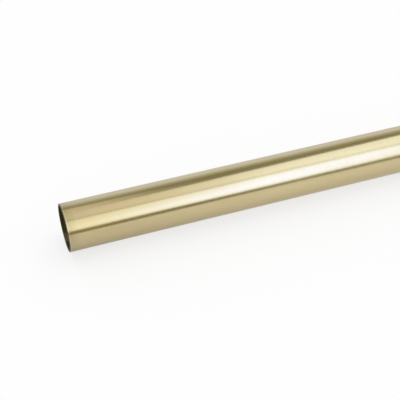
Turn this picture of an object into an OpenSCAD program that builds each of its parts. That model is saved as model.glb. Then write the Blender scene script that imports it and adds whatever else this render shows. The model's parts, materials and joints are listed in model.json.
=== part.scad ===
// Round decorative stock: a welded stainless steel tube, cut square to length and deburred.
// It lies on the floor along X, with the origin on the floor under the middle of its length.

/* [Tube] */
// Outside diameter
tube_od = 38.1; // [25.4:0.1:76.2]
// Thickness of the wall
wall = 1.5; // [1:0.05:2.5]
// Length between the two cut ends
tube_length = 1000; // [250:1:3000]

/* [Cut ends] */
// Radius of the rounding that deburring leaves on the outer edge of each end
outer_edge_r = 0.3; // [0.1:0.05:0.4]
// Width of the 45 degree bevel round the mouth of the bore
mouth_bevel = 0.3; // [0.1:0.05:0.4]

/* [Weld seam] */
// Width of the weld bead that runs the whole length inside the bore
bead_width = 2.4; // [1:0.1:2.6]
// Height of the bead's crown above the wall of the bore
bead_height = 0.2; // [0.1:0.05:0.3]
// Place of the bead round the tube, where 0 is on top and 180 is on the floor side
bead_angle = 180; // [0:5:355]

/* [Hidden] */

// Facets of every round surface
$fn = 96;
// Straight steps in the rounding of an outer edge
edge_steps = 6;
// How far a cutting shape runs past the face that it cuts
cut_past = 1;

outer_r = tube_od / 2;
bore_r = outer_r - wall;

// The bead's crown is an arc that meets the bore at both of its toes.
bead_toe_angle = asin(bead_width / 2 / bore_r);
bead_rise = bead_height - bore_r * (1 - cos(bead_toe_angle));
bead_crown_r = (pow(bead_width / 2, 2) + pow(bead_rise, 2)) / (2 * bead_rise);
bead_crown_centre = bore_r - bead_height + bead_crown_r;

// The mouth's bevel goes on at 45 degrees until it has trimmed the end of the bead too.
mouth_depth = mouth_bevel + bead_height;

// Points of a quarter circle about centre, from one angle to another
function arc(centre, r, from_angle, to_angle, steps) = [
    for (i = [0 : steps])
        let (a = from_angle + (to_angle - from_angle) * i / steps)
            centre + r * [cos(a), sin(a)]
];

// Half of the solid bar's section, as radius and height, with its outer corners rounded
function bar_section(r, length, corner_r) = concat(
    [[0, 0]],
    arc([r - corner_r, corner_r], corner_r, -90, 0, edge_steps),
    arc([r - corner_r, length - corner_r], corner_r, 0, 90, edge_steps),
    [[0, length]]
);

// Outside of the tube, standing on one end
module bar() {
    rotate_extrude()
        polygon(bar_section(outer_r, tube_length, outer_edge_r));
}

// Space inside the tube: the drawn bore, less the bead that stands in it
module bore() {
    translate([0, 0, -cut_past])
        difference() {
            cylinder(r = bore_r, h = tube_length + 2 * cut_past);
            translate([bead_crown_centre, 0, -cut_past])
                cylinder(r = bead_crown_r, h = tube_length + 4 * cut_past);
        }
}

// Bevel round the bore's mouth, on the end at height 0
module mouth() {
    translate([0, 0, -cut_past])
        cylinder(
            r1 = bore_r + mouth_bevel + cut_past,
            r2 = bore_r + mouth_bevel - mouth_depth,
            h = mouth_depth + cut_past
        );
}

// The tube's one solid, lying along X on the floor
module tube() {
    color([0.72, 0.64, 0.45])
        translate([-tube_length / 2, 0, outer_r])
            rotate([bead_angle, 0, 0])
                rotate([0, 90, 0])
                    rotate([0, 0, 180])
                        difference() {
                            bar();
                            bore();
                            mouth();
                            translate([0, 0, tube_length])
                                mirror([0, 0, 1])
                                    mouth();
                        }
}

tube();
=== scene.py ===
"""Dresses the round tube in its satin brass finish and lights it for the main picture.

Everything is in metres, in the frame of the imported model: the tube lies along X on the floor
at Z = 0, and the origin is on the floor under the middle of its length.
"""

import json
import math

import bmesh
import bpy
from mathutils import Matrix, Vector


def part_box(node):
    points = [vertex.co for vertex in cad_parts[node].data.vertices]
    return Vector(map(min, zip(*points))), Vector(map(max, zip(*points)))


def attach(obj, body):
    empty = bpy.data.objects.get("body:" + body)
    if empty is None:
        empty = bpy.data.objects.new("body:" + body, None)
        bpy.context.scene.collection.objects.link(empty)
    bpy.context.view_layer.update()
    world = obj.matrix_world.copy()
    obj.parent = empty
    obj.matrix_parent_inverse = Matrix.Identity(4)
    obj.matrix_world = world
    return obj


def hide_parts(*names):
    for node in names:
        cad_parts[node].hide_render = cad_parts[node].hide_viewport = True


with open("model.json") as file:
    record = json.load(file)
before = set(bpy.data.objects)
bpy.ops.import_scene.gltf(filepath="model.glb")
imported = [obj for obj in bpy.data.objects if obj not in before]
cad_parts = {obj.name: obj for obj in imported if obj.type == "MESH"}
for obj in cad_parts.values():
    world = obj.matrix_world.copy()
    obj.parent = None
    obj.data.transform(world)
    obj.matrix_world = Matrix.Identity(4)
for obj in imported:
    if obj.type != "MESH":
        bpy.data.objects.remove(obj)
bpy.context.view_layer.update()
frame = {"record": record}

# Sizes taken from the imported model
TUBE_LOW, TUBE_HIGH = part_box("tube")
MOUNTS = {mount["name"]: mount for mount in frame["record"]["mounts"]}
OUTER_R = MOUNTS["outside"]["dims"]["r_mm"] / 1000
BORE_R = MOUNTS["bore_left"]["dims"]["r_mm"] / 1000
LEFT_END = TUBE_LOW.x
LENGTH = TUBE_HIGH.x - TUBE_LOW.x
MIDDLE = (TUBE_LOW.x + TUBE_HIGH.x) / 2
AXIS_HEIGHT = (TUBE_LOW.z + TUBE_HIGH.z) / 2

# Sizes of the cut ends and of the weld bead, as the CAD source has them
EDGE_R = 0.0003
MOUTH_BEVEL = 0.0003
BEAD_WIDTH = 0.0024
BEAD_HEIGHT = 0.0002

# Fineness of the visible mesh
STEPS_ROUND = 192
STEPS_ACROSS_BEAD = 16
STEPS_ALONG = 48
STEPS_IN_EDGE = 6
# Distance of a loop that holds a flat or straight face against the rounding beside it
HOLD = 0.00004
# Depths from the rounding or bevel of an end where there are extra loops
NEAR_DEPTHS = (0.001, 0.004, 0.010)
# Even lines along the tube keep this far from the weld bead's middle, in half widths of the bead
BEAD_CLEAR = 1.05

# Material slots of the visible mesh
FINISH, CUT, BORE = range(3)

# Name of the mesh's own map for the baked finish
MAP_NAME = "OFBake"
# Share of the map's length that each cut end takes, and the border round each half of the map
MAP_CUT = 0.04
MAP_BORDER = 0.012

# Colours of the outer face: its usual tones, a darker brass towards the ends and for painted shade
# low near the ends, and worn brass that is also a painted highlight
BRASS_DEEP = (0.583, 0.480, 0.270, 1)
BRASS_PALE = (0.640, 0.540, 0.318, 1)
BRASS_DARKENED = (0.420, 0.340, 0.180, 1)
BRASS_WORN_HIGHLIGHT = (0.640, 0.570, 0.380, 1)
# Colours of the bare steel at the cut ends
CUT_DARK = (0.11, 0.10, 0.072, 1)
CUT_PALE = (0.16, 0.147, 0.108, 1)
# Colours in the bore: its steel, the brass tone of its mouths darkened as painted shade, dust, and
# heat tint on both, also darker at the mouths as painted shade
STEEL_DEEP = (0.34, 0.325, 0.30, 1)
STEEL_PALE = (0.46, 0.44, 0.41, 1)
MOUTH_DEEP = (0.052, 0.042, 0.013, 1)
MOUTH_PALE = (0.083, 0.067, 0.022, 1)
DUST = (0.20, 0.175, 0.115, 1)
BURNT_STEEL = (0.19, 0.15, 0.12, 1)
BURNT_MOUTH = (0.055, 0.045, 0.035, 1)
# The scale in the bore: how metallic it leaves the steel, and the tint of its gloss
BORE_METALLIC = 0.4
BORE_GLOSS = (1.0, 0.88, 0.5, 1)

# How far from a cut end the outer face is darker, with painted shade low down, and rubbed rough
DARKENED_DEPTH = 0.010
RUBBED_DEPTH = 0.004
# Heights above the floor between which the painted shade near the ends fades out
PAINTED_SHADE_HEIGHTS = (0.003, 0.014)
# Depths between which the bare rim ends and the worn line beyond it ends, which is also a painted
# highlight of the rounded edge, and how uneven both are
BARE_DEPTHS = (0.0001, 0.0004)
WORN_HIGHLIGHT_DEPTHS = (0.0004, 0.0014)
RIM_UNEVEN = 0.0005
# Depths between which the brass tone and painted shade of the bore's mouth end, and how uneven that
# is
TONED_SHADED_DEPTHS = (0.005, 0.020)
TONED_SHADED_UNEVEN = 0.006
# The dust grows between these drops below the bore's axis, in radii of the bore
DUST_FROM = 0.955
DUST_TO = 1.03
# How far the dust lies round to the back of the bore's lowest line, as a slope
DUST_LEAN = 0.27
# Distances from the weld bead's middle between which the heat tint ends, and how uneven that is
TINT_SPAN = (0.0015, 0.0042)
TINT_UNEVEN = 0.001
# Distance from its middle up to which the weld bead is fully rippled
RIPPLED = 0.0009

# The camera's heading is turned from +Y, and its tilt is down from level.
HEADING = math.radians(19.12)
TILT = math.radians(42.98)
LENS_MM = 85
SENSOR_MM = 36
# Place of the near end's centre as the camera sees it: to the right, up and forward
NEAR_END_SEEN = Vector((-0.1037, -0.0214, 0.7201))

# Levels of the even light from all sides and of the wide soft lamp above, which leans to the back
DOME_LEVEL = 0.7
LAMP_LEVEL = 0.3
LAMP_SPREAD = math.radians(90)
LAMP_LEAN = math.radians(-30)
# The floor's paint, and how much plain white stands in for it to the eye and in reflections
FLOOR_SIZE = 60
FLOOR_PAINT = (0.97, 0.97, 0.97, 1)
WHITE_IN_SIGHT = 0.72
WHITE_IN_METAL = 0.38
# Painted shade in reflections: the white grows to the right, over a span along X
WHITE_LEFT = 0.55
WHITE_RIGHT = 0.99
WHITE_SPAN = (-0.58, -0.28)
# Painted shade: it dims behind the tube's axis, over a short distance, and more so to the right of
# another span
SHADE_BEHIND_DISTANCE = 0.04
SHADE_BEHIND_LEFT = 0.7
SHADE_BEHIND_RIGHT = 0.5
SHADE_BEHIND_SPAN = (-0.31, -0.21)

# Radius of the light tent round the tube, how far it reaches to either side, and its fineness
TENT_R = 1.3
TENT_REACH = 4.0
TENT_STEPS_ROUND = 40
TENT_STEPS_ALONG = 160
# The slant of its panels' edges goes on this far to either side
SLANT_REACH = 0.6
# Distances to the left over which a little light is lost, and to both sides over which colour is
LOSS_SPAN = (0.27, 0.36)
GREY_SPAN = (0.6, 1.0)
# Levels of the flag in front, and of the light that falls on it from the box
FLAG_LEFT = (0.235, 0.195, 0.077)
FLAG_RIGHT = (0.32, 0.31, 0.17)
FLAG_FAR_LEFT = (0.32, 0.265, 0.125)
FLAG_SPILL = (1.4, 1.5, 0.9)
# Level of the front box, what its hottest place adds, and how wide that place is on each side
BOX_LEVEL = (1.37, 1.39, 1.08)
BOX_HOT = (0.28, 0.55, 2.27)
HOT_WIDTH_LEFT = 0.36
HOT_WIDTH_RIGHT = 0.46
# Share of its blue that the front box loses at its low and high edges
BOX_BLUE_LOSS = 0.20
# Levels of the box overhead
TOP_LEFT = (1.07, 1.06, 1.02)
TOP_RIGHT = (1.43, 1.55, 1.76)
# Levels of the backdrop at its dark top and white foot, and of what falls on it from the side
SWEEP_LEFT = (0.28, 0.27, 0.20)
SWEEP_RIGHT = (0.335, 0.32, 0.235)
SWEEP_FOOT = (0.88, 0.94, 1.11)
SWEEP_SPILL = (1.0, 0.98, 0.88)
# Level of the light from the box overhead beside the backdrop
SWEEP_GLOW = (1.4, 1.45, 1.3)
# Power by which the backdrop's blue grows later than its red and green
BLUE_DELAY = 1.4


# Mesh of the tube


def bead_toe():
    """Half of the angle that the weld bead covers in the bore."""
    return math.asin(BEAD_WIDTH / 2 / BORE_R)


def bore_radius(angle):
    """Radius of the bore at an angle, where 0 is on top and pi is at the bead, on the floor side."""
    off = abs(angle - math.pi)
    if off >= bead_toe():
        return BORE_R
    rise = BEAD_HEIGHT - BORE_R * (1 - math.cos(bead_toe()))
    crown_r = ((BEAD_WIDTH / 2) ** 2 + rise**2) / (2 * rise)
    centre = BORE_R - BEAD_HEIGHT + crown_r
    return centre * math.cos(off) - math.sqrt(crown_r**2 - (centre * math.sin(off)) ** 2)


def angles_round():
    """Angles of the mesh's lines along the tube, closer together over the weld bead."""
    even = [2 * math.pi * i / STEPS_ROUND for i in range(STEPS_ROUND)]
    beside_bead = [a for a in even if abs(a - math.pi) > bead_toe() * BEAD_CLEAR]
    over_bead = [
        math.pi + bead_toe() * (2 * i / STEPS_ACROSS_BEAD - 1)
        for i in range(STEPS_ACROSS_BEAD + 1)
    ]
    return sorted(beside_bead + over_bead)


def end_outline():
    """Depth and radius of the loops over a cut end, from the bore's mouth to the outer face."""
    mouth_r = BORE_R + MOUTH_BEVEL
    flat_r = OUTER_R - EDGE_R
    loops = [(0.0, mouth_r), (0.0, mouth_r + HOLD), (0.0, flat_r - HOLD)]
    for i in range(STEPS_IN_EDGE + 1):
        turn = math.pi / 2 * i / STEPS_IN_EDGE
        loops.append((EDGE_R * (1 - math.cos(turn)), flat_r + EDGE_R * math.sin(turn)))
    return loops


def depths_between(first):
    """Depths of the loops from one end to the other, closer together near each end."""
    near = [first, first + HOLD] + [first + depth for depth in NEAR_DEPTHS]
    span = LENGTH - 2 * near[-1]
    middle = [near[-1] + span * i / STEPS_ALONG for i in range(1, STEPS_ALONG)]
    return near + middle + [LENGTH - depth for depth in reversed(near)]


def tube_rows(angles):
    """Each loop of the mesh: its places round, the material after it, and if it is a corner."""
    rows = []

    def add_even(depth, radius, material, corner=False):
        rows.append(([(depth, radius)] * len(angles), material, corner))

    end = end_outline()
    outside = depths_between(EDGE_R)
    add_even(*end[0], CUT, corner=True)
    for depth, radius in end[1:-1]:
        add_even(depth, radius, CUT)
    for depth in outside[:-1]:
        add_even(depth, OUTER_R, FINISH)
    for depth, radius in reversed(end[1:]):
        add_even(LENGTH - depth, radius, CUT)
    add_even(LENGTH, end[0][1], BORE, corner=True)

    radii = [bore_radius(angle) for angle in angles]
    bevel_ends = [BORE_R + MOUTH_BEVEL - radius for radius in radii]
    inside = depths_between(MOUTH_BEVEL + BEAD_HEIGHT)[1:-1]
    far_bevel = [(LENGTH - depth, radius) for depth, radius in zip(bevel_ends, radii)]
    rows.append((far_bevel, BORE, True))
    for depth in reversed(inside):
        rows.append(([(depth, radius) for radius in radii], BORE, False))
    rows.append((list(zip(bevel_ends, radii)), BORE, True))
    return rows


def map_turns(angles, start):
    """Both sides of each strip of faces, as shares of the way round from one of the angles."""
    shares = [(angle - start) / (2 * math.pi) % 1 for angle in angles]
    return [(low, high or 1.0) for low, high in zip(shares, shares[1:] + shares[:1])]


def map_place(depth, radius, turn, in_bore):
    """Place on the map. The bore has its lower half, and the ends get more than their share."""
    off_end = min(depth, LENGTH - depth)
    if in_bore:
        along = 0.5 * math.sqrt(off_end / (LENGTH / 2))
    else:
        to_outer = (OUTER_R - radius + max(EDGE_R - off_end, 0)) / (OUTER_R - BORE_R)
        past_edge = max(off_end - EDGE_R, 0) / (LENGTH / 2 - EDGE_R)
        along = MAP_CUT * (1 - to_outer) + (0.5 - MAP_CUT) * math.sqrt(past_edge)
    if depth > LENGTH / 2:
        along = 1 - along
    across = MAP_BORDER + (0.5 - 2 * MAP_BORDER) * turn + (0 if in_bore else 0.5)
    return MAP_BORDER + (1 - 2 * MAP_BORDER) * along, across


def tube_mesh():
    """The closed mesh of the tube: its outer face, two cut ends and bore with the weld bead."""
    angles = angles_round()
    rows = tube_rows(angles)
    turns = {True: map_turns(angles, 0), False: map_turns(angles, math.pi)}
    mesh = bmesh.new()
    map_layer = mesh.loops.layers.uv.new(MAP_NAME)
    rings = []
    for places, _, _ in rows:
        ring = []
        for angle, (depth, radius) in zip(angles, places):
            across = radius * math.sin(angle)
            height = AXIS_HEIGHT + radius * math.cos(angle)
            ring.append(mesh.verts.new((LEFT_END + depth, across, height)))
        rings.append(ring)

    for i, (places, material, corner) in enumerate(rows):
        ring = rings[i]
        after = rings[(i + 1) % len(rings)]
        places_after = rows[(i + 1) % len(rings)][0]
        in_bore = material == BORE
        for j in range(len(angles)):
            k = (j + 1) % len(angles)
            face = mesh.faces.new((ring[j], ring[k], after[k], after[j]))
            low, high = turns[in_bore][j]
            corners = (
                (places[j], low),
                (places[k], high),
                (places_after[k], high),
                (places_after[j], low),
            )
            for loop, (place, turn) in zip(face.loops, corners):
                loop[map_layer].uv = map_place(*place, turn, in_bore)
            face.material_index = material
            face.smooth = True
            if corner:
                mesh.edges.get((ring[j], ring[k])).smooth = False
    bmesh.ops.recalc_face_normals(mesh, faces=mesh.faces)
    data = bpy.data.meshes.new("satin_tube")
    mesh.to_mesh(data)
    mesh.free()
    return data


# Materials


class Shader:
    """A material's nodes, with short calls that add to them."""

    def __init__(self, name):
        self.material = bpy.data.materials.new(name)
        self.material.use_nodes = True
        self.tree = self.material.node_tree
        self.tree.nodes.clear()

    def node(self, kind, inputs=None, **settings):
        """Adds a node. An input is a number, a colour or another node's output."""
        node = self.tree.nodes.new(kind)
        for name, value in settings.items():
            setattr(node, name, value)
        for name, value in (inputs or {}).items():
            if isinstance(value, bpy.types.NodeSocket):
                self.tree.links.new(value, node.inputs[name])
            else:
                node.inputs[name].default_value = value
        return node

    def math(self, operation, first, second=0.0):
        """Result of one sum."""
        return self.node("ShaderNodeMath", {0: first, 1: second}, operation=operation).outputs[0]

    def times(self, first, second):
        """Product of two values."""
        return self.math("MULTIPLY", first, second)

    def plus(self, first, second, share=1.0):
        """The first value and a share of the second."""
        return self.math("ADD", first, self.times(second, share))

    def place(self):
        """Places on the part, in metres."""
        return self.node("ShaderNodeTexCoord").outputs["Object"]

    def stretched(self, place, x, y, z):
        """Places measured in steps of 1/x, 1/y and 1/z metres."""
        node = self.node("ShaderNodeVectorMath", {0: place, 1: (x, y, z)}, operation="MULTIPLY")
        return node.outputs[0]

    def noise(self, place, x, y, z, detail=2.0, rough=0.5):
        """Noise from 0 to 1, with x, y and z grains to the metre."""
        inputs = {
            "Vector": self.stretched(place, x, y, z),
            "Scale": 1.0,
            "Detail": detail,
            "Roughness": rough,
        }
        return self.node("ShaderNodeTexNoise", inputs).outputs[0]

    def span(self, value, low, high, to_low=0.0, to_high=1.0):
        """Carries the values from low to high over to another span, and stops at its ends."""
        inputs = {
            "Value": value,
            "From Min": low,
            "From Max": high,
            "To Min": to_low,
            "To Max": to_high,
        }
        node = self.node("ShaderNodeMapRange", inputs, interpolation_type="SMOOTHSTEP")
        return node.outputs["Result"]

    def mixed(self, share, first, second):
        """Colour that goes from the first to the second with the share."""
        node = self.node("ShaderNodeMix", data_type="RGBA")
        sockets = {
            "Factor_Float": share,
            "A_Color": first,
            "B_Color": second,
        }
        for socket in node.inputs:
            value = sockets.get(socket.identifier)
            if isinstance(value, bpy.types.NodeSocket):
                self.tree.links.new(value, socket)
            elif value is not None:
                socket.default_value = value
        return next(o for o in node.outputs if o.identifier == "Result_Color")

    def bump(self, height, distance, before=None):
        """Normals of a height map that is distance metres deep, on top of the bump before it."""
        inputs = {"Height": height, "Distance": distance}
        if before is not None:
            inputs["Normal"] = before
        return self.node("ShaderNodeBump", inputs).outputs[0]

    def metal(self, colour, roughness, normal, metallic=1.0, gloss=(1, 1, 1, 1)):
        """Ends the nodes in a metal, which is less metallic and tinted in its gloss under scale."""
        inputs = {
            "Base Color": colour,
            "Metallic": metallic,
            "Roughness": roughness,
            "Specular Tint": gloss,
            "Normal": normal,
        }
        shader = self.node("ShaderNodeBsdfPrincipled", inputs)
        self.end(shader.outputs[0])
        return self.material

    def end(self, surface):
        """Joins a surface to the output."""
        output = self.node("ShaderNodeOutputMaterial")
        self.tree.links.new(surface, output.inputs["Surface"])


def depth_from_end(shader, place):
    """Distance from the nearer cut end, and the place's other two coordinates."""
    parts = shader.node("ShaderNodeSeparateXYZ", {0: place})
    off_middle = shader.math("ABSOLUTE", shader.math("SUBTRACT", parts.outputs[0], MIDDLE))
    depth = shader.math("SUBTRACT", LENGTH / 2, off_middle)
    return depth, parts.outputs[1], parts.outputs[2]


def satin_brass():
    """The outer face: a pale brass tone, polished round the tube and then satined."""
    shader = Shader("satin_brass")
    place = shader.place()
    depth, _, height = depth_from_end(shader, place)
    cloud = shader.noise(place, 9, 40, 40, detail=3.0)
    grain = shader.noise(place, 2600, 45, 45)
    mottle = shader.noise(place, 620, 620, 620)
    drawn = shader.noise(place, 10, 1500, 1500)

    tone = shader.plus(shader.times(cloud, 0.7), grain, 0.3)
    tone = shader.span(tone, 0.3, 0.7)
    colour = shader.mixed(tone, BRASS_DEEP, BRASS_PALE)
    # Darker towards each cut end
    darker_by_end = shader.span(depth, 0.0, DARKENED_DEPTH, 0.45, 0.0)
    # Painted shade: the lowest part of the outer face near each end is darkened, standing in for the
    # reflected contact shadow
    painted_shade_low = shader.span(height, *PAINTED_SHADE_HEIGHTS, 1.0, 0.0)
    painted_shade_low = shader.times(painted_shade_low, shader.span(depth, 0.0, DARKENED_DEPTH, 0.5, 0.0))
    colour = shader.mixed(shader.plus(darker_by_end, painted_shade_low), colour, BRASS_DARKENED)
    ragged = shader.plus(depth, mottle, -RIM_UNEVEN)
    # Worn brass line by the rim, made lighter also as a painted highlight of the rounded edge
    worn_and_highlight = shader.span(ragged, *WORN_HIGHLIGHT_DEPTHS, 0.8, 0.0)
    colour = shader.mixed(worn_and_highlight, colour, BRASS_WORN_HIGHLIGHT)
    bare = shader.span(ragged, *BARE_DEPTHS, 1.0, 0.0)
    colour = shader.mixed(bare, colour, CUT_PALE)

    rubbed = shader.span(depth, 0.0, RUBBED_DEPTH, 0.06, 0.0)
    roughness = shader.plus(0.13, cloud, 0.08)
    roughness = shader.plus(roughness, grain, 0.05)
    roughness = shader.plus(roughness, rubbed)

    normal = shader.bump(mottle, 0.000012)
    normal = shader.bump(grain, 0.000006, normal)
    normal = shader.bump(drawn, 0.000003, normal)
    return shader.metal(colour, roughness, normal)


def cut_steel():
    """The cut ends: bare steel with the fine marks of the saw, across the tube."""
    shader = Shader("cut_steel")
    place = shader.place()
    marks = shader.noise(place, 300, 260, 5200)
    cloud = shader.noise(place, 250, 250, 250)
    colour = shader.mixed(cloud, CUT_DARK, CUT_PALE)
    roughness = shader.plus(0.36, marks, 0.18)
    return shader.metal(colour, roughness, shader.bump(marks, 0.00001))


def bore_steel():
    """The bore: dull drawn steel, brass toned and darkened as painted shade at its mouths, and heat
    tinted along the weld bead.
    """
    shader = Shader("bore_steel")
    place = shader.place()
    depth, across, height = depth_from_end(shader, place)
    cloud = shader.noise(place, 60, 160, 160, detail=3.0)
    drawn = shader.noise(place, 16, 1300, 1300, detail=3.0)
    ripple = shader.noise(place, 900, 260, 260)

    # Brass tone with painted shade: the mouths are much darker than the steel deeper in
    toned_and_shaded = shader.span(shader.plus(depth, cloud, TONED_SHADED_UNEVEN), *TONED_SHADED_DEPTHS, 1.0, 0.0)
    steel = shader.mixed(drawn, STEEL_DEEP, STEEL_PALE)
    brass = shader.mixed(drawn, MOUTH_DEEP, MOUTH_PALE)
    colour = shader.mixed(toned_and_shaded, steel, brass)

    fallen = shader.plus(shader.math("SUBTRACT", AXIS_HEIGHT, height), across, DUST_LEAN)
    dusty = shader.span(fallen, BORE_R * DUST_FROM, BORE_R * DUST_TO, 0.0, 0.7)
    colour = shader.mixed(dusty, colour, DUST)

    low = shader.math("LESS_THAN", height, AXIS_HEIGHT)
    aside = shader.math("ABSOLUTE", across)
    tint = shader.span(shader.plus(aside, cloud, TINT_UNEVEN), *TINT_SPAN, 0.75, 0.0)
    burnt = shader.mixed(toned_and_shaded, BURNT_STEEL, BURNT_MOUTH)
    colour = shader.mixed(shader.times(tint, low), colour, burnt)
    on_bead = shader.times(shader.span(aside, RIPPLED, BEAD_WIDTH / 2, 1.0, 0.0), low)

    roughness = shader.plus(0.30, drawn, 0.15)
    roughness = shader.plus(roughness, cloud, 0.10)
    normal = shader.bump(drawn, 0.00002)
    normal = shader.bump(shader.times(ripple, on_bead), 0.00012, normal)
    return shader.metal(colour, roughness, normal, BORE_METALLIC, BORE_GLOSS)


# The tube

tube = bpy.data.objects.new("brass_finished_tube", tube_mesh())
bpy.context.scene.collection.objects.link(tube)
for material in (satin_brass(), cut_steel(), bore_steel()):
    tube.data.materials.append(material)
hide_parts("tube")
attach(tube, "root")


# The camera

right = Vector((math.cos(HEADING), -math.sin(HEADING), 0))
level = Vector((math.sin(HEADING), math.cos(HEADING), 0))
up = level * math.sin(TILT) + Vector((0, 0, math.cos(TILT)))
forward = level * math.cos(TILT) - Vector((0, 0, math.sin(TILT)))
near_end = Vector((LEFT_END, 0, AXIS_HEIGHT))
from_camera = right * NEAR_END_SEEN.x + up * NEAR_END_SEEN.y + forward * NEAR_END_SEEN.z
camera_place = near_end - from_camera

camera_data = bpy.data.cameras.new("camera")
camera_data.lens = LENS_MM
camera_data.sensor_width = SENSOR_MM
camera_data.clip_start = 0.05
camera_data.clip_end = 200
camera = bpy.data.objects.new("camera", camera_data)
camera.matrix_world = Matrix(
    (
        (right.x, up.x, -forward.x, camera_place.x),
        (right.y, up.y, -forward.y, camera_place.y),
        (right.z, up.z, -forward.z, camera_place.z),
        (0, 0, 0, 1),
    )
)
bpy.context.scene.collection.objects.link(camera)
bpy.context.scene.camera = camera
bpy.context.scene.view_settings.view_transform = "Standard"


# Floor and world


def picture_rays(tree):
    """1 for rays by sight, and 1 for rays by reflection or through glass, as two outputs."""
    path = tree.nodes.new("ShaderNodeLightPath")
    either = tree.nodes.new("ShaderNodeMath")
    either.operation = "MAXIMUM"
    tree.links.new(path.outputs["Is Glossy Ray"], either.inputs[0])
    tree.links.new(path.outputs["Is Transmission Ray"], either.inputs[1])
    return path.outputs["Is Camera Ray"], either.outputs[0]


def floor_paint():
    """White paint that keeps the shadow, fainter to the eye than in reflections, with painted shade
    in the glow that reflections see.
    """
    shader = Shader("pale_floor")
    paint = shader.node("ShaderNodeBsdfDiffuse", {"Color": FLOOR_PAINT})
    sight, reflected = picture_rays(shader.tree)
    share = shader.plus(shader.times(sight, WHITE_IN_SIGHT), reflected, WHITE_IN_METAL)
    along, back, _ = shader.node("ShaderNodeSeparateXYZ", {0: shader.place()}).outputs
    # Painted shade in the glow for reflections: dimmer to the left and just behind the tube
    level = shader.span(along, *WHITE_SPAN, WHITE_LEFT, WHITE_RIGHT)
    behind = shader.span(along, *SHADE_BEHIND_SPAN, SHADE_BEHIND_LEFT, SHADE_BEHIND_RIGHT)
    level = shader.times(level, shader.span(back, 0.0, SHADE_BEHIND_DISTANCE, 1.0, behind))
    # Inputs 2 and 3 are the two numbers that the node mixes.
    level = shader.node("ShaderNodeMix", {0: sight, 2: level, 3: 1.0}).outputs[0]
    glow = shader.node("ShaderNodeEmission", {"Color": (1, 1, 1, 1), "Strength": level})
    both = shader.node("ShaderNodeMixShader", {0: share, 1: paint.outputs[0], 2: glow.outputs[0]})
    shader.end(both.outputs[0])
    return shader.material


bpy.ops.mesh.primitive_plane_add(size=FLOOR_SIZE)
floor = bpy.context.object
floor.name = "floor"
floor.data.materials.append(floor_paint())

world = bpy.data.worlds.new("studio")
world.use_nodes = True
bpy.context.scene.world = world
world_tree = world.node_tree
world_tree.nodes.clear()
white = world_tree.nodes.new("ShaderNodeBackground")
dome = world_tree.nodes.new("ShaderNodeBackground")
dome.inputs["Strength"].default_value = DOME_LEVEL
for background in (white, dome):
    background.inputs["Color"].default_value = (1, 1, 1, 1)
in_picture = world_tree.nodes.new("ShaderNodeMath")
in_picture.operation = "MAXIMUM"
for ray, socket in zip(picture_rays(world_tree), in_picture.inputs):
    world_tree.links.new(ray, socket)
world_mix = world_tree.nodes.new("ShaderNodeMixShader")
world_output = world_tree.nodes.new("ShaderNodeOutputWorld")
world_tree.links.new(in_picture.outputs[0], world_mix.inputs[0])
world_tree.links.new(dome.outputs[0], world_mix.inputs[1])
world_tree.links.new(white.outputs[0], world_mix.inputs[2])
world_tree.links.new(world_mix.outputs[0], world_output.inputs["Surface"])

lamp_data = bpy.data.lights.new("wide_lamp", "SUN")
lamp_data.energy = LAMP_LEVEL * math.pi / math.cos(LAMP_LEAN)
lamp_data.angle = LAMP_SPREAD
lamp = bpy.data.objects.new("wide_lamp", lamp_data)
lamp.rotation_euler = (LAMP_LEAN, 0, 0)
lamp.visible_glossy = False
bpy.context.scene.collection.objects.link(lamp)


# The light tent that shows in the metal


def smooth(value, low, high):
    """0 below low, 1 above high, and an even change between them."""
    share = min(max((value - low) / (high - low), 0.0), 1.0)
    return share * share * (3 - 2 * share)


def between(share, first, second):
    """Mix of two levels or colours."""
    return tuple(a + (b - a) * share for a, b in zip(first, second))


def edge_turn(x, middle, slope=0.0, bend=0.0):
    """Turn in degrees, up from the front, of a panel's edge at a place along the tube."""
    x = max(-SLANT_REACH, min(SLANT_REACH, x))
    return middle + slope * x + bend * x * x


def flag_low(x):
    """Turn of the low edge of the dark flag in front."""
    return edge_turn(x, middle=5.1, slope=-4.5, bend=-8.0)


def box_low(x):
    """Turn of the front box's low edge, which steps up at the left."""
    step = 2.0 * (1 - smooth(x, -0.16, 0.02))
    return edge_turn(x, middle=18.0, slope=-3.6) + step


def box_high(x):
    """Turn of the front box's high edge, where the box overhead begins."""
    return edge_turn(x, middle=65.8, slope=-5.0)


def top_far(x):
    """Turn of the overhead box's far edge."""
    return edge_turn(x, middle=110.0, slope=14.5)


def sweep_foot(x):
    """Turn of the backdrop's foot, which is level."""
    return edge_turn(x, middle=176.0)


def dimmed(level, x, share=1.0, loss=0.11):
    """A share of a level, with a little lost at the left, and grey far out to both sides."""
    share *= 1 - loss * smooth(-x, *LOSS_SPAN)
    grey = (sum(level) / 3,) * 3
    level = between(smooth(abs(x), *GREY_SPAN), level, grey)
    return tuple(share * part for part in level)


def front_flag(turn, x):
    """The dark gap between the floor's far edge and the box in front, lighter by the box."""
    to_right = smooth(x, -0.15, 0.1)
    to_far_left = smooth(-x, 0.24, 0.34)
    dark = between(to_right, FLAG_LEFT, FLAG_RIGHT)
    dark = between(to_far_left, dark, FLAG_FAR_LEFT)
    by_box = 1 - smooth(box_low(x) - turn, 0, 6)
    return between(0.16 * by_box, dark, FLAG_SPILL)


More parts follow.
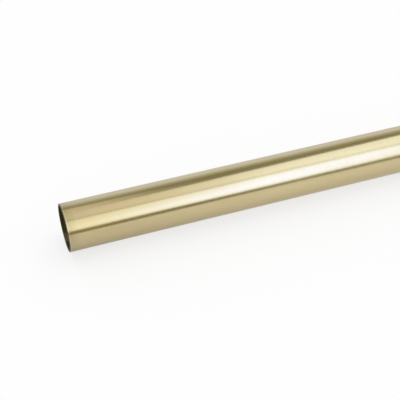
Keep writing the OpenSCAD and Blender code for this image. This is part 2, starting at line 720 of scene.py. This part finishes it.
def front_box(turn, x):
    """The big soft box in front, hottest right of the tube's near end and warmer at its edges."""
    low = 1 - smooth(turn, 28, 62)
    off_hottest = x - 0.20 + 0.12 * low
    width = HOT_WIDTH_LEFT if off_hottest < 0 else HOT_WIDTH_RIGHT
    hot = math.exp(-((off_hottest / width) ** 2))
    red, green, blue = (part + more * hot for part, more in zip(BOX_LEVEL, BOX_HOT))
    by_low_edge = 1 - smooth(turn - box_low(x), 0, 16)
    by_high_edge = (1 - smooth(box_high(x) - turn, 0, 14)) * smooth(x, -0.3, 0.05)
    blue *= 1 - BOX_BLUE_LOSS * by_low_edge
    blue *= 1 - BOX_BLUE_LOSS * by_high_edge
    edge = 0.80 + 0.20 * smooth(turn - box_low(x), 0, 8)
    lift = 1 + 0.08 * low * (1 - smooth(x, -0.1, 0.2))
    return dimmed((red, green, blue), x, edge * lift, loss=0.08)


def top_box(turn, x):
    """The soft box overhead, brighter to the right, with a dimmer seam along its front."""
    level = between(smooth(x, -0.20, 0.17), TOP_LEFT, TOP_RIGHT)
    seam = 0.76 + 0.24 * smooth(turn, 71, 78)
    fade = 1 + 0.002 * (95 - turn)
    return dimmed(level, x, seam * fade, loss=0.18)


def back_sweep(turn, x):
    """The backdrop behind, white at its foot and dark at its top, with spill at the left."""
    dark = between(smooth(x, -0.1, 0.05), SWEEP_LEFT, SWEEP_RIGHT)
    white = smooth(turn, 128, 168)
    red, green, _ = between(white, dark, SWEEP_FOOT)
    _, _, blue = between(white**BLUE_DELAY, dark, SWEEP_FOOT)
    glow = 0.04 * (1 - smooth(turn - top_far(x), 0, 16))
    level = between(glow, (red, green, blue), SWEEP_GLOW)
    leaning = turn + 25 * (x + 0.3)
    spill = smooth(-x, 0.09, 0.36) * (1 - smooth(leaning, 126.5, 135))
    return dimmed(between(spill, level, SWEEP_SPILL), x)


def tent_panel(name, low_edge, high_edge, light):
    """A panel of the tent between two edges, lit by a rule."""
    mesh = bpy.data.meshes.new(name)
    places = []
    levels = []
    for i in range(TENT_STEPS_ROUND + 1):
        for j in range(TENT_STEPS_ALONG + 1):
            x = TENT_REACH * (2 * j / TENT_STEPS_ALONG - 1)
            low = low_edge(x)
            turn = low + (high_edge(x) - low) * i / TENT_STEPS_ROUND
            y = -TENT_R * math.cos(math.radians(turn))
            z = AXIS_HEIGHT + TENT_R * math.sin(math.radians(turn))
            places.append((x, y, z))
            levels.append(light(turn, x))
    faces = []
    for i in range(TENT_STEPS_ROUND):
        for j in range(TENT_STEPS_ALONG):
            a = i * (TENT_STEPS_ALONG + 1) + j
            b = a + TENT_STEPS_ALONG + 1
            faces.append((a, a + 1, b + 1, b))
    mesh.from_pydata(places, [], faces)
    attribute = mesh.color_attributes.new("level", "FLOAT_COLOR", "POINT")
    for entry, level in zip(attribute.data, levels):
        entry.color = (*level, 1)
    shader = Shader(name)
    colour = shader.node("ShaderNodeVertexColor", layer_name="level").outputs["Color"]
    glow = shader.node("ShaderNodeEmission", {"Color": colour, "Strength": 1.0})
    shader.end(glow.outputs[0])
    mesh.materials.append(shader.material)
    panel = bpy.data.objects.new(name, mesh)
    bpy.context.scene.collection.objects.link(panel)
    panel.visible_camera = False
    panel.visible_diffuse = False
    panel.visible_shadow = False
    return panel


tent = [
    tent_panel("front_flag", flag_low, box_low, front_flag),
    tent_panel("front_box", box_low, box_high, front_box),
    tent_panel("top_box", box_high, top_far, top_box),
    tent_panel("back_sweep", top_far, sweep_foot, back_sweep),
]
